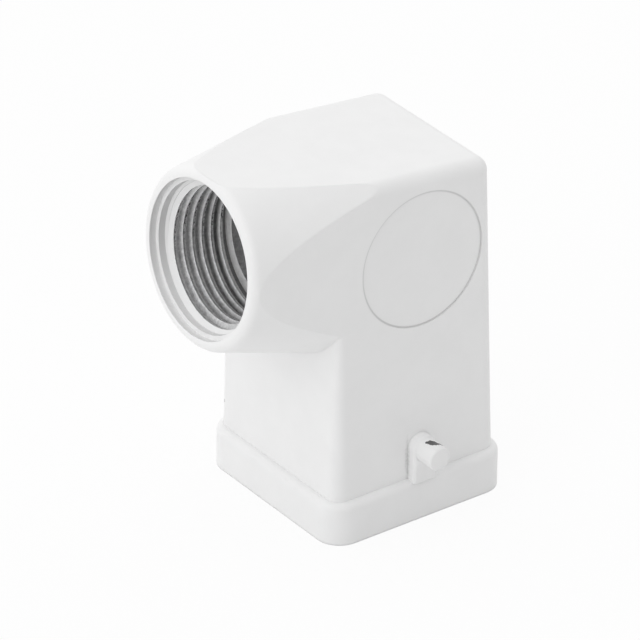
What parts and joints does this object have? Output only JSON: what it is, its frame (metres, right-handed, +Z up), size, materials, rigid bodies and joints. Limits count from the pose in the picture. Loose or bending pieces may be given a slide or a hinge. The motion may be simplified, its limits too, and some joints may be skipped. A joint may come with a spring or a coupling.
{
  "type": "connector housing",
  "caption": "Die-cast hood for a small square connector, with an angled threaded cable entry at the top and a locking peg on each side.",
  "frame": {"origin": "middle of the open rim, in the rim's plane, where the hood sits on its base", "axes": "+Z up from the rim to the top, -X towards the cable entry, -Y and +Y out along the locking pegs"},
  "size_m": [0.0417, 0.0358, 0.0531],
  "materials": {
    "coated_casting": "matt powder coat, very light grey, on die-cast aluminium"
  },
  "bodies": {
    "root": {"hood": "coated_casting"}
  },
  "joints": []
}
